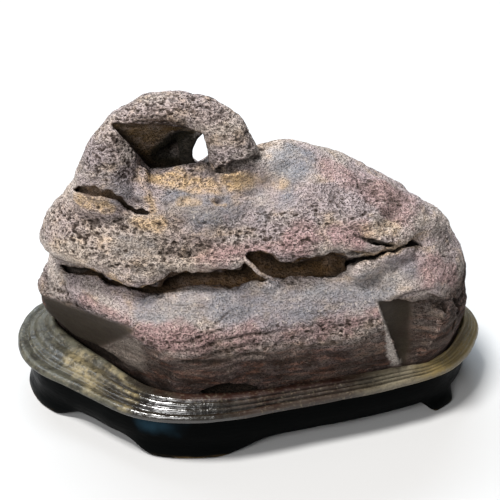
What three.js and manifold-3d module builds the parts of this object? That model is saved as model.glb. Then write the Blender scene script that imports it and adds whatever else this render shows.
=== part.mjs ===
// A scholar's rock: one weathered stone with a natural arch, set in the wooden base carved to fit it.
// Millimetres, +Z up, the front towards -Y, the origin on the ground under the middle of the base.
import * as THREE from "three";
import { mergeVertices } from "three/addons/utils/BufferGeometryUtils.js";
import Module from "manifold-3d";

const wasm = await Module();
wasm.setup();

// Driving dimensions
const turns = 76; // points round every ring
const fitGap = 0.4; // clearance between the stone and the wood
const seatFloor = 24; // top of the recess that the stone stands in
const rimTop = 38; // crest of the ridge round the recess
const footLift = 8; // how far the skirt clears the ground between the feet
const underside = 12; // hollow under the base
const bedDip = 0.085; // rise of the stone's lower bed per millimetre to the right
const grooveFloor = 101; // floor of the long groove, above x = 0
const grooveRoof = 115;

// Outlines from above: from the right-hand end round the front, the left and the back.
// The rim, the recess and the stone's widest outline pair up point by point.
const rimOutline = [
  [150, 26], [142, -10], [121, -37], [82, -56], [30, -73], [-25, -88], [-64, -84], [-104, -57],
  [-139, -28], [-151, 10], [-138, 50], [-92, 80], [-20, 90], [60, 90], [122, 72],
];
const recessOutline = [
  [140, 28], [131, -7], [112, -33], [78, -44], [31, -58], [-20, -68], [-54, -64], [-92, -29],
  [-118, 0], [-129, 20], [-118, 46], [-82, 66], [-16, 76], [56, 76], [109, 61],
];
const stoneOutline = [
  [139, 24], [133, -13], [111, -42], [76, -56], [31, -64], [-18, -71], [-54, -70], [-94, -50],
  [-121, -20], [-135, 8], [-128, 40], [-90, 68], [-20, 79], [56, 79], [114, 66],
];
const upperOutline = [
  [108, 16], [104, -10], [93, -31], [64, -46], [22, -53], [-20, -57], [-60, -54], [-95, -42],
  [-119, -22], [-129, 4], [-120, 34], [-84, 56], [-20, 62], [44, 66], [92, 50],
];

const closedCurve = (points) =>
  new THREE.CatmullRomCurve3(points.map(([x, y]) => new THREE.Vector3(x, y, 0)), true, "centripetal");

// The outward direction at a place on an outline, level with the ground.
function outward(curve, turn) {
  const along = curve.getTangent(turn);
  return new THREE.Vector3(-along.y, along.x, 0);
}

// A closed solid of rings: a lathe whose points are moved by place(turn, row). Rows run from the bottom up,
// and the first and last of them close to a point.
function ringSolid(rows, place, count = turns) {
  const profile = rows.map((row, i) => new THREE.Vector2(i % (rows.length - 1) ? 1 : 0, i));
  const shape = new THREE.LatheGeometry(profile, count);
  const position = shape.getAttribute("position");
  for (let i = 0; i <= count; i++)
    rows.forEach((row, j) => {
      const p = place((count - i) % count / count, row);
      position.setXYZ(i * rows.length + j, p.x, p.y, p.z);
    });
  return shape;
}

// A three.js geometry as a manifold-3d solid, and back.
function solidOf(geometry) {
  const bare = geometry.clone();
  bare.deleteAttribute("normal");
  bare.deleteAttribute("uv");
  const merged = mergeVertices(bare, 1e-3);
  const solid = new wasm.Manifold(
    new wasm.Mesh({
      numProp: 3,
      vertProperties: merged.attributes.position.array,
      triVerts: new Uint32Array(merged.index.array),
    }),
  );
  if (solid.volume() < 0) throw new Error("a shape is inside out");
  return solid;
}

function geometryOf(solid) {
  const mesh = solid.getMesh();
  const geometry = new THREE.BufferGeometry();
  geometry.setAttribute("position", new THREE.BufferAttribute(mesh.vertProperties, 3));
  geometry.setIndex(new THREE.BufferAttribute(mesh.triVerts, 1));
  return geometry.toNonIndexed();
}

// Low, uneven relief that keeps the stone's faces from being smooth.
const relief = ({ x, y, z }) =>
  1.3 * Math.sin(0.061 * x + 0.9) * Math.cos(0.083 * y + 0.041 * z) +
  0.9 * Math.sin(0.142 * x + 0.117 * z + 2.1) * Math.sin(0.127 * y + 0.6);

// ---- the wooden base ----

// Rows of the base's section, from the hollow underneath, up the skirt and over the rim into the recess.
// recess: share of the recess outline; across: 0 at the recess, 1 at the rim; inset: millimetres inside the rim.
const baseSection = [
  { recess: 0, z: underside },
  { inset: 23, z: underside - 1, foot: 0 },
  { inset: 20, z: 0, foot: 1 },
  { inset: 10, z: 0, foot: 1 },
  { inset: 8, z: 4, foot: 0.5 },
  { inset: 7, z: 12 },
  { inset: 7.6, z: 20 },
  { inset: 9, z: rimTop - 11 },
  { inset: 6, z: rimTop - 9.8 },
  { inset: 1, z: rimTop - 8.8 },
  { across: 1.0, z: rimTop - 6.6 },
  { across: 0.95, z: rimTop - 4.6 },
  { across: 0.87, z: rimTop - 3.9 },
  { across: 0.78, z: rimTop - 5 },
  { across: 0.62, z: rimTop - 5.4 },
  { across: 0.46, z: rimTop - 4 },
  { across: 0.38, z: rimTop - 2.3 },
  { across: 0.3, z: rimTop - 2.8 },
  { across: 0.22, z: rimTop - 0.8 },
  { across: 0.09, z: rimTop },
  { across: 0.0, z: rimTop - 1.4 },
  { recess: 0.995, z: seatFloor },
  { recess: 0, z: seatFloor },
];

// The skirt comes down to a foot at these places round the rim, counted in rim points, and lifts between them.
const feet = [
  { at: 1.9, reach: 0.62 },
  { at: 5.4, reach: 0.75 },
  { at: 8.1, reach: 0.6 },
  { at: 11.1, reach: 0.6 },
  { at: 13.6, reach: 0.6 },
];

function skirtLift(turn) {
  const place = turn * rimOutline.length;
  const nearest = Math.max(
    ...feet.map(({ at, reach }) => {
      const away = Math.abs(place - at);
      const round = Math.min(away, rimOutline.length - away);
      return 1 - THREE.MathUtils.smoothstep(round, reach, reach + 0.5);
    }),
  );
  return footLift * (1 - nearest);
}

function makeBase() {
  const rim = closedCurve(rimOutline);
  const recess = closedCurve(recessOutline);
  return ringSolid(baseSection, (turn, row) => {
    const inner = recess.getPoint(turn);
    const outer = rim.getPoint(turn);
    if (row.recess !== undefined) return inner.multiplyScalar(row.recess).setZ(row.z);
    if (row.across !== undefined) return inner.lerp(outer, row.across).setZ(row.z);
    const lift = skirtLift(turn) * (row.foot ?? 0);
    return outer.addScaledVector(outward(rim, turn), -row.inset).setZ(row.z + lift);
  });
}

// ---- the stone ----

// The groove between the beds is widest in the middle and closes up towards the right.
const floorHeight = ({ x }) => grooveFloor + bedDip * x;
const roofHeight = ({ x }) => grooveRoof + 0.054 * x - 0.0005 * x * x;

// A bed of the stone: rings on one outline, or part of the way to a second one (by mix), each inset and
// shifted. A ring's height is a number or a function of the place, and over adds to it.
function makeBed(outline, rings, foot = outline) {
  const curve = closedCurve(outline);
  const footCurve = closedCurve(foot);
  return ringSolid(rings, (turn, { inset = 0, mix = 1, shift = [0, 0], z, over = 0, share = 1 }) => {
    const out = outward(curve, turn);
    const p = footCurve.getPoint(turn).lerp(curve.getPoint(turn), mix).addScaledVector(out, -inset);
    p.multiplyScalar(share).add(new THREE.Vector3(...shift, 0));
    const height = (typeof z === "function" ? z(p) : z) + over;
    p.setZ(height);
    const rough = share > 0 && height > rimTop ? relief(p) : 0;
    return p.addScaledVector(out, rough).setZ(height + (share < 1 ? rough : 0));
  });
}

// Height of the upper bed's top: a dome at the back right, and a shoulder under the arch's broad leg.
function topHeight({ x, y }) {
  const hump = (cx, cy, wide, deep) => Math.exp(-(((x - cx) / wide) ** 2) - ((y - cy) / deep) ** 2);
  return 112 + 51 * hump(26, 12, 68, 54) + 34 * hump(-100, 0, 40, 54);
}

const lowerRings = [
  { share: 0, z: seatFloor + fitGap },
  { mix: 0, inset: 5, z: seatFloor + fitGap },
  { mix: 0, inset: 2, z: seatFloor + 4 },
  { mix: 0, inset: 1.2, z: rimTop },
  { mix: 0.62, z: 53 },
  { z: 68 },
  { inset: 5, shift: [0, 1], z: floorHeight, over: -17 },
  { inset: 11, shift: [-2, 4], z: floorHeight, over: -3.5 },
  { inset: 16, shift: [-3, 5], z: floorHeight },
  { share: 0, z: floorHeight },
];
const neckRings = [
  { share: 0, z: grooveFloor - 8 },
  { inset: 15, shift: [7, 0], z: floorHeight, over: -8 },
  { inset: 15, shift: [7, 0], z: roofHeight, over: 4 },
  { share: 0, z: grooveRoof + 4 },
];
const upperRings = [
  { share: 0, z: roofHeight, over: 1 },
  { inset: 8, z: roofHeight },
  { inset: 3, z: roofHeight },
  { inset: 0, z: (p) => Math.min(roofHeight(p) + 7, topHeight(p) - 3) },
  { inset: 4.5, z: (p) => Math.min((topHeight(p) + 2 * roofHeight(p)) / 3 + 8, topHeight(p) - 1) },
  { share: 0.8, z: topHeight, over: -1 },
  { share: 0.58, z: topHeight },
  { share: 0.34, z: topHeight },
  { share: 0.14, z: topHeight },
  { share: 0, z: topHeight },
];

// The arch, from deep in the left shoulder over to the dome: centre, half-width across the arch, half-depth.
const archStations = [
  { at: [-84, -2, 118], across: 24, deep: 22 },
  { at: [-83, -5, 136], across: 25, deep: 27 },
  { at: [-81, -8, 152], across: 22, deep: 25 },
  { at: [-79, -8, 168], across: 15.5, deep: 22 },
  { at: [-72, -6, 181], across: 11, deep: 18 },
  { at: [-58, -4, 188.5], across: 11, deep: 17 },
  { at: [-41, -3, 189.5], across: 11, deep: 16 },
  { at: [-26, -4, 186], across: 12, deep: 16 },
  { at: [-14, -7, 177], across: 14, deep: 16 },
  { at: [-9, -9, 165], across: 14.5, deep: 17 },
  { at: [-5, -7, 150], across: 14, deep: 17 },
  { at: [0, -4, 134], across: 12, deep: 12 },
];

function makeArch() {
  const centre = new THREE.CatmullRomCurve3(archStations.map(({ at }) => new THREE.Vector3(...at)));
  const last = archStations.length - 1;
  const rows = [{ i: 0, size: 0 }, ...archStations.map((s, i) => ({ i, size: 1 })), { i: last, size: 0 }];
  const depth = new THREE.Vector3(0, 1, 0);
  const shape = ringSolid(
    rows,
    (turn, { i, size }) => {
      const { across, deep } = archStations[i];
      const side = centre.getTangent(i / last).cross(depth).normalize();
      const angle = turn * 2 * Math.PI;
      const p = new THREE.Vector3(...archStations[i].at);
      p.addScaledVector(side, size * across * Math.cos(angle));
      p.addScaledVector(depth, size * deep * Math.sin(angle));
      return p;
    },
    24,
  );
  return shape;
}

// A rounded lump, as an ellipsoid.
function lump(centre, radii) {
  return new THREE.SphereGeometry(1, 28, 18).scale(...radii).translate(...centre);
}

// A block that is cut away: sizes, then the turn about X, Y and Z, then where its middle goes.
function cutter(size, [rx, ry, rz], middle) {
  const place = new THREE.Matrix4().makeRotationFromEuler(new THREE.Euler(rx, ry, rz, "ZYX"));
  return new THREE.BoxGeometry(...size).applyMatrix4(place).translate(...middle);
}

function makeStone() {
  const body = [
    makeBed(stoneOutline, lowerRings, recessOutline),
    makeBed(upperOutline, neckRings),
    makeBed(upperOutline, upperRings),
    makeArch(),
    lump([-38, 0, 119], [52, 45, 40]), // sill in front of the hole
    lump([4, 8, 116], [48, 42, 41]), // shoulder under the arch's short leg
    lump([-59, 9, 158], [31, 15, 34]), // web behind the hole
    lump([100, 14, 98], [24, 40, 22]), // right-hand end, where the groove dies out
  ].map(solidOf);
  const hole = new THREE.CylinderGeometry(7, 18, 64, 24).scale(1.35, 1, 1).rotateX(-0.36).rotateZ(-0.5);
  const cuts = [
    hole.translate(-40, -8, 168), // funnel from the arch's wide mouth to its narrow back opening
    cutter([150, 60, 120], [0.336, 0, -0.689], [-113, -60, 61]), // undercut face at the left front
    cutter([44, 40, 64], [0.13, 0.26, 0.449], [90.6, -65, 50]), // recess at the right front
    cutter([60, 180, 90], [0, -0.607, 0], [145.5, 12, 125]), // slope down to the right-hand end
  ].map(solidOf);
  return wasm.Manifold.union(body).subtract(wasm.Manifold.union(cuts));
}

function piece(name, geometry, color, roughness) {
  const mesh = new THREE.Mesh(geometry, new THREE.MeshStandardMaterial({ color, roughness, metalness: 0 }));
  mesh.name = name;
  return mesh;
}

const scholarsRock = new THREE.Group();
scholarsRock.add(
  piece("stone", geometryOf(makeStone()), 0x7d6f6a, 0.92),
  piece("base", geometryOf(solidOf(makeBase())), 0x2a2018, 0.35),
);

// The rim is the widest thing, so the whole object is centred over the ground on its box.
const middle = new THREE.Box3().setFromObject(scholarsRock).getCenter(new THREE.Vector3());
scholarsRock.position.set(-middle.x, -middle.y, 0);

export default scholarsRock;
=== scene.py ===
# The finish of a viewing stone with a natural arch, and of the carved wooden base that it stands in.
from math import cos, pi, radians, sin

import bmesh
import bpy
import numpy as np
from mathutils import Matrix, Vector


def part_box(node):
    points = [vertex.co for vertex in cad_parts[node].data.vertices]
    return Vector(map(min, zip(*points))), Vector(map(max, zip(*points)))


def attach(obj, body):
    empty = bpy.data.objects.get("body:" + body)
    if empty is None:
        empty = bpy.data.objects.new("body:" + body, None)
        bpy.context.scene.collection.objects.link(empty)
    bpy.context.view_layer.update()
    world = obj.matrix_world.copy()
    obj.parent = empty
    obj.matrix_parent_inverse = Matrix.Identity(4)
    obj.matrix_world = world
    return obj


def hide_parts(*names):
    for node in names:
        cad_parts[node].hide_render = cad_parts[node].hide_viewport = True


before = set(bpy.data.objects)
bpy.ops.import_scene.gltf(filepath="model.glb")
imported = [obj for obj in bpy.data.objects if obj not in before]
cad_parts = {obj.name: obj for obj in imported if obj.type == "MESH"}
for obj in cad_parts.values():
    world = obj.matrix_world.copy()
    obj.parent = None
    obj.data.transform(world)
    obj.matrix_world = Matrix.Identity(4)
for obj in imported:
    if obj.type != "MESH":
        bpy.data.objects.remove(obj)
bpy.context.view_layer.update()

import openvdb
from mathutils import Vector

mm = 0.001  # all shapes below are worked out in millimetres and stored in metres


# camera: in front of the stone, looking down on it
cameraView = {
    "target": (0.25, -15.75, 104),
    "distance": 671.7,
    "elevation": 28,
    "lens": 80,
    "nearest": 0.01,  # metres
}


def makeCamera(view):
    data = bpy.data.cameras.new("camera")
    data.lens = view["lens"]
    data.clip_start = view["nearest"]
    camera = bpy.data.objects.new("camera", data)
    tilt = radians(view["elevation"])
    back = Vector((0, -cos(tilt), sin(tilt)))
    camera.location = (Vector(view["target"]) + back * view["distance"]) * mm
    camera.rotation_euler = (pi / 2 - tilt, 0, 0)
    bpy.context.collection.objects.link(camera)
    bpy.context.scene.camera = camera


# shared shape helpers

def smoothstep(low, high, value):
    t = np.clip((value - low) / (high - low), 0, 1)
    return t * t * (3 - 2 * t)


def cellCorners(part):
    # the eight corners of a cell, with the weight of each at a place inside it
    for corner in range(8):
        step = [(corner >> i) & 1 for i in range(3)]
        weight = 1
        for t, s in zip(part, step):
            weight = weight * (t if s else 1 - t)
        yield step, weight


def valueNoise(points, size, seed, stretch=(1, 1, 1)):
    # smooth random values between -1 and 1, one lattice point every `size` millimetres
    side = 64
    apart, start = 7.3, 20  # so that the axes differ and the places aren't negative
    table = np.random.default_rng(seed).uniform(-1, 1, (side, side, side)).astype(np.float32)
    place = [points[i] / (size * stretch[i]) + apart * i + start for i in range(3)]
    place = [np.asarray(p, np.float32) for p in place]
    cell = [np.floor(p).astype(np.int32) for p in place]
    part = [p - c for p, c in zip(place, cell)]
    part = [t * t * (3 - 2 * t) for t in part]
    total = 0
    for step, weight in cellCorners(part):
        index = [(c + s) % side for c, s in zip(cell, step)]
        total = total + weight * table[index[0], index[1], index[2]]
    return total


def layeredNoise(points, size, seed, layers=4, stretch=(1, 1, 1), fade=0.5):
    total = 0
    for layer in range(layers):
        total = total + fade**layer * valueNoise(points, size / 2**layer, seed + layer, stretch)
    return total


def cellNoise(points, size, seed, stretch=(1, 1, 1)):
    # distances to the nearest and second nearest of scattered points, in units of `size`
    side, start = 32, 9.1
    jitter = np.random.default_rng(seed).uniform(0, 1, (side, side, side, 3)).astype(np.float32)
    place = [points[i] / (size * stretch[i]) + start for i in range(3)]
    cell = [np.floor(p).astype(np.int32) for p in place]
    nearest = np.full(place[0].shape, 9.0, np.float32)
    second = nearest.copy()
    for a in (-1, 0, 1):
        for b in (-1, 0, 1):
            for c in (-1, 0, 1):
                spot = jitter[(cell[0] + a) % side, (cell[1] + b) % side, (cell[2] + c) % side]
                away = np.sqrt(
                    (cell[0] + a + spot[..., 0] - place[0]) ** 2
                    + (cell[1] + b + spot[..., 1] - place[1]) ** 2
                    + (cell[2] + c + spot[..., 2] - place[2]) ** 2
                )
                second = np.minimum(second, np.maximum(nearest, away))
                nearest = np.minimum(nearest, away)
    return nearest, second


def softMax(a, b, radius):
    # the larger of two fields, rounded where they meet
    h = np.maximum(radius - np.abs(a - b), 0) / radius
    return np.maximum(a, b) + h * h * radius / 4


def makeMesh(name, points, faces):
    mesh = bpy.data.meshes.new(name)
    mesh.vertices.add(len(points))
    mesh.vertices.foreach_set("co", np.asarray(points, np.float32).ravel())
    corners = faces.shape[1]
    mesh.loops.add(faces.size)
    mesh.loops.foreach_set("vertex_index", faces.astype(np.int32).ravel())
    mesh.polygons.add(len(faces))
    mesh.polygons.foreach_set("loop_start", np.arange(len(faces), dtype=np.int32) * corners)
    mesh.update(calc_edges=True)
    mesh.shade_smooth()
    piece = bpy.data.objects.new(name, mesh)
    bpy.context.collection.objects.link(piece)
    return piece


def meshPoints(mesh):
    points = np.empty(len(mesh.vertices) * 3, np.float32)
    mesh.vertices.foreach_get("co", points)
    return points.reshape(-1, 3)


def meshNormals(mesh):
    normals = np.empty(len(mesh.vertices) * 3, np.float32)
    mesh.vertex_normals.foreach_get("vector", normals)
    return normals.reshape(-1, 3)


def mainPart(points, faces):
    # the largest connected part of a mesh, without loose crumbs
    label = np.arange(len(points))
    while True:
        lowest = label[faces].min(axis=1)
        merged = label.copy()
        np.minimum.at(merged, faces.ravel(), np.repeat(lowest, faces.shape[1]))
        merged = merged[merged]
        if np.array_equal(merged, label):
            break
        label = merged
    faces = faces[label[faces[:, 0]] == np.bincount(label[faces[:, 0]]).argmax()]
    used, faces = np.unique(faces, return_inverse=True)
    return points[used], faces.reshape(-1, 4)


def storeValues(mesh, name, values):
    layer = mesh.attributes.new(name, "FLOAT", "POINT")
    layer.data.foreach_set("value", np.asarray(values, np.float32))


# the stone: its plain solid becomes a block of distances, which is cut, added to and warped, then
# made a mesh

stone = {
    "step": 1.0,  # between samples of the block
    "band": 10.0,  # distances are kept this far from the surface
    "margin": 6,  # samples round the solid
    "smoothing": 7,  # passes over the plain solid
    "triangles": 190000,
    # slow offsets that weather the surface, then those of the groove's lips: size, how far, seed
    "warp": [(46, 1.8, 11), (17, 1.0, 12), (7, 0.6, 13)],
    "lips": [(19, 0.8, 31), (8, 1.0, 32), (4, 0.9, 33)],
    # pits: size, seed, depth, how rare they are
    "pits": [(4.4, 131, 0.8, 0.85), (2.7, 132, 0.9, 0.0), (2.0, 133, 0.9, -0.2)],
    "eye": (0, -609, 419),  # far in front of the stone; outlines are cut along lines from here
    # the arch's mouth: its outline, the slanting face that it opens on, and the outline of the slot
    # behind; then a line, half-widths and how softly it joins, for the hollow behind the mouth, for
    # what is added to the sill, and for what closes the slot before it is cut
    "mouth": {
        "outline": [
            (-79, -19, 187), (-57, -13, 156.5), (-29, -10, 159), (-24, -18, 173), (-26, -21, 182),
            (-48, -20, 187),
        ],
        "face": ((-78, -16, 186), (0.31, -0.865, -0.4)),
        "box": ((-88, -36, 145), (-14, 24, 194)),
        "slot": [
            (-28, 10, 169), (-25, 10, 163), (-24.7, 10, 157.5), (-27.5, 10, 152), (-31, 10, 150),
            (-33.6, 10, 153.5), (-34, 10, 158.5), (-31.4, 10, 165),
        ],
        "slotBox": ((-50, -2, 120), (-10, 70, 180)),
        "cave": ([(-50, 4, 156), (-42, 8, 158), (-36, 10, 159)], [6, 8, 6], 2),
        "sill": ([(-46, -15, 153), (-41, -14, 155.5), (-28, -12, 156.5)], [3, 4, 4.5], 3),
        "sillEnd": ([(-62, -18, 156), (-60, -27, 147)], [4, 5], 3),
        "plug": ([(-34, 10, 163), (-34, 12, 156)], [9, 8], 2),
    },
    # where painted shade fills the cave behind the mouth: a line and its half-widths
    "dark": ([(-50, 2, 156), (-43, 6, 159), (-36, 10, 160), (-31, 24, 153)], [9, 12, 11, 9]),
    # cracks: a line along each, how wide it is at each point, and how low for its width
    "cracks": [
        # under the arch's short right leg, which overhangs the shoulder
        (
            [(-17, -19, 158), (-12, -24, 161), (-4, -25, 164), (5, -20, 165), (9, -6, 162)],
            [2, 6, 7, 5, 2],
            0.45,
        ),
        # fine ones in the sill and in the upper bed's face
        ([(-30, -40, 146), (-12, -44, 147), (6, -46, 148), (24, -44, 149)], [1, 3, 3, 1], 0.3),
        ([(-24, -55, 124), (-8, -57, 125), (8, -58, 122)], [1, 3, 1], 0.4),
        # under the lower bed's ledge, and between its end and the mass behind
        ([(-62, -72, 61), (-28, -75, 62), (0, -75, 61.5), (34, -72, 61)], [1, 3, 3, 1], 0.5),
        ([(124, -26, 76), (128, -21, 67), (127, -20, 58), (122, -26, 51)], [1, 2, 2, 1], 1.5),
    ],
    # the lower bed's end, with the mass over it hanging out
    "bedEnd": ([(80, -52, 84), (93, -47, 84), (106, -43, 82), (118, -34, 77)], [2, 5, 6, 3], 1.3),
    # shallow hollows in the middle of the stone
    "dimples": [
        ([(-36, -36, 146), (-30, -35, 147)], [4, 4], 0.8),
        ([(-19, -32, 144), (-16, -32, 144)], [2.8, 2.8], 0.8),
        ([(-47, -36, 144), (-43, -36, 145)], [2.5, 3], 0.6),
        ([(-22, -51, 130), (-14, -52, 131)], [3, 3], 0.6),
        ([(26, -50, 130), (34, -50, 131)], [3, 4], 0.6),
    ],
    # gaps where it stands clear of the base's rim: a line along each and its half-widths
    "gaps": [
        (
            [(-118, 3, 36), (-106, -13, 36), (-94, -27, 36), (-81, -41, 36), (-70, -53, 36)],
            [2, 4, 6, 4, 2],
        ),
        ([(-34, -64, 37), (-14, -65, 38), (6, -61, 37)], [2, 7, 2]),
    ],
    # long clefts as they look from the eye: the heights of the upper and lower lips at each place
    # across, where the lines of sight cross an upright plane; then the depth
    "cleftPlane": -50,
    "clefts": {
        "groove": (
            [
                (-111, 114, 113.5), (-104, 111.5, 107), (-95, 111, 104.5), (-89, 110.5, 103.5),
                (-84, 103, 99.8), (-72, 99.7, 96.3), (-62, 98.7, 93), (-54, 99, 93), (-48, 102.5, 94.5),
                (-40, 108, 96.5), (-29, 109, 99.5), (-17, 108, 98), (-11, 108.5, 96.5), (-4, 110, 98.3),
                (-1, 120.5, 99), (6, 122, 100.5), (13, 119.5, 102.3), (18, 114.5, 103),
                (26, 114.3, 104), (38, 117.5, 104.3), (48, 119.5, 105), (56, 118, 109),
            ],
            9,
        ),
        "rightLow": (
            [
                (55, 116, 111.5), (63, 118.5, 115), (72, 120.3, 117.3), (81, 123, 119.5),
                (87, 125.5, 121.5), (92, 129, 124), (96, 128, 125.5), (100, 126, 125),
            ],
            5,
        ),
        "rightHigh": (
            [
                (55, 128.5, 127.5), (59, 131.8, 129.5), (65, 131, 127.5), (72, 128.6, 125),
                (78, 126.5, 123), (84, 125.6, 124.6),
            ],
            3.5,
        ),
        "leftLeg": (
            [
                (-97, 160.5, 159.5), (-95, 162, 158.4), (-91, 162.6, 157), (-88.5, 161.6, 156.6),
                (-86, 162.8, 156.2), (-83, 160.6, 156.6), (-81, 159.4, 155.6), (-78.5, 161, 155.2),
                (-76, 160.4, 154.4), (-73.5, 157.4, 153.6), (-71, 155.6, 150.6), (-69, 151.6, 148.4),
                (-66.5, 150.4, 147.4), (-64, 148, 145.4), (-61, 148.8, 145.8), (-58, 147.4, 145.6),
                (-54, 147.8, 146.8),
            ],
            5,
        ),
    },
    # pockets behind the groove's lips: a line along each and its half-widths
    "pockets": [
        ([(-106, -14, 104), (-96, -24, 104), (-88, -32, 103)], [5, 7, 6]),
        ([(-52, -44, 99), (-30, -42, 104), (-8, -43, 107), (8, -44, 112)], [4, 8, 9, 8]),
        ([(16, -42, 109), (36, -40, 111), (48, -39, 113)], [8, 8, 7]),
    ],
    "pocketHeight": 0.78,  # as a share of their width
    # what is added: a line along each lump, its half-widths and how softly it joins
    "lumps": [
        # behind and beside the arch's right foot, and on the shoulder at the far right
        ([(9, 5, 153), (18, 5, 155.5)], [8, 8], 12),
        ([(-6, -18, 148), (6, -14, 152), (14, -8, 155)], [7, 7, 6], 6),
        ([(80, 0, 132), (94, -4, 127), (106, -4, 117), (112, 4, 110)], [8, 9.5, 9, 7], 14),
        # lips that hang down into the groove, and its right end
        (
            [(-88, -41, 110), (-78, -46, 106), (-66, -51, 105), (-56, -52, 107), (-46, -50, 113)],
            [4, 5, 5, 4.5, 3],
            3,
        ),
        ([(-40, -50, 114), (-24, -51, 115), (-8, -52, 116)], [4, 4, 4], 3),
        ([(63, -41, 106), (78, -37, 109), (92, -29, 111)], [7, 7, 6], 3),
    ],
    # a thin strand that bridges the groove
    "strand": (
        [(-3, -53, 119), (2, -56, 115.5), (7, -56.5, 110), (13, -55, 104.5), (20, -51, 99.5)],
        [1.5, 1.5, 1.2, 1.2, 1.4],
        1,
    ),
    # the smooth broken faces at the lower left and right: a point on each plane, and the way into
    # the stone from it
    "undercut": {
        "face": ((-95, -39, 71), (0.6, 0.73, 0.33)),
        "top": ((-95, -40, 74), (-0.1, 0.1, 1)),
        "side": ((-71, -57, 72), (0.78, 0, -0.63)),
    },
    "undercutBox": ((-140, -80, 24), (-55, 20, 84)),
    "notch": {
        "face": ((75.2, -51.3, 80.7), (-0.7, 0.68, -0.11)),
        "side": ((111, -40, 60), (0.6, 0.8, -0.1)),
        "top": ((84, -50, 87), (0.25, 0.1, 1)),
        "bottom": ((84, -50, 36), (0, 0, -1)),
        "edge": ((74.3, -56, 91), (-0.934, -0.08, -0.347)),
    },
    "notchBox": ((60, -80, 24), (122, -16, 96)),
    "notchRound": 18,  # between its face and its side
    # stains: lines through each, its half-width and its strength
    "ochre": [
        ([(-58, -20, 154), (-42, -22, 155), (-24, -24, 155), (-6, -30, 156), (8, -28, 156)], 7, 1.0),
        ([(-64, -20, 158), (-59, -28, 149), (-56, -36, 142)], 3.5, 0.7),
        ([(-106, -24, 144), (-88, -35, 142), (-70, -38, 137), (-52, -41, 135)], 5, 0.8),
        ([(-112, -20, 128), (-74, -46, 122), (-34, -54, 128)], 20, 0.2),
        ([(-72, -22, 184), (-44, -14, 194), (-14, -16, 182)], 15, 0.12),
        ([(-76, -48, 104), (-58, -50, 101), (-40, -50, 102)], 6, 0.9),
        ([(60, -44, 115), (80, -38, 115), (98, -26, 114)], 4, 0.6),
        ([(70, -40, 130), (86, -30, 130)], 6, 0.5),
        ([(6, -26, 154), (20, -22, 150)], 5, 0.55),
        ([(-38, -36, 146), (-30, -36, 147)], 3, 0.6),
        ([(-20, -33, 144), (-15, -33, 144)], 2, 0.6),
    ],
    "grey": [
        ([(-44, -34, 147), (-26, -36, 146)], 10, 0.9),
        ([(24, -10, 162), (16, -34, 150), (0, -40, 146), (-26, -42, 143)], 13, 1.0),
        ([(-60, -56, 88), (-20, -62, 90), (30, -58, 92), (80, -48, 98)], 12, 0.8),
        ([(-78, -30, 152), (-66, -34, 146)], 8, 0.6),
        ([(96, -40, 104), (84, -44, 106)], 8, 0.6),
        ([(-72, -46, 126), (-58, -50, 124)], 7, 0.8),
    ],
    "pink": [
        ([(-24, -56, 129), (8, -56, 131), (40, -52, 136), (62, -44, 134)], 13, 1.0),
        ([(52, -4, 152), (76, -10, 140), (90, -16, 130)], 12, 0.8),
        ([(-60, -70, 76), (-20, -76, 76), (40, -72, 80), (76, -60, 84)], 9, 1.0),
        ([(-126, -20, 80), (-100, -40, 80), (-76, -58, 82)], 5, 0.8),
        ([(112, -36, 100), (124, -24, 92)], 10, 0.8),
    ],
    "colours": {
        "body": (182, 170, 162),
        "warm": (188, 163, 138),
        "mauve": (164, 150, 150),
        "grey": (112, 115, 122),
        "pink": (166, 136, 134),
        "ochre": (202, 171, 132),
        "pale": (220, 206, 190),
        # painted shade in pits, pores, fissure lines and crannies
        "pit": (50, 37, 28),
        # painted shade in hollows, cracks and gaps
        "deep": (34, 26, 18),
        "groove": (110, 82, 50),
        # the brown foot, darkened as painted shade; also painted on what faces down
        "under": (44, 24, 14),
        # painted shade inside the cave behind the mouth
        "cave": (26, 22, 8),
        "mouth": (100, 77, 44),
        "strata": (98, 63, 47),
        "broken": (146, 134, 124),
        # painted shade on the smooth broken faces, in two depths
        "calm": (47, 40, 29),
        "calmDark": (35, 28, 20),
        "chip": (196, 186, 178),
    },
}


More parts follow.
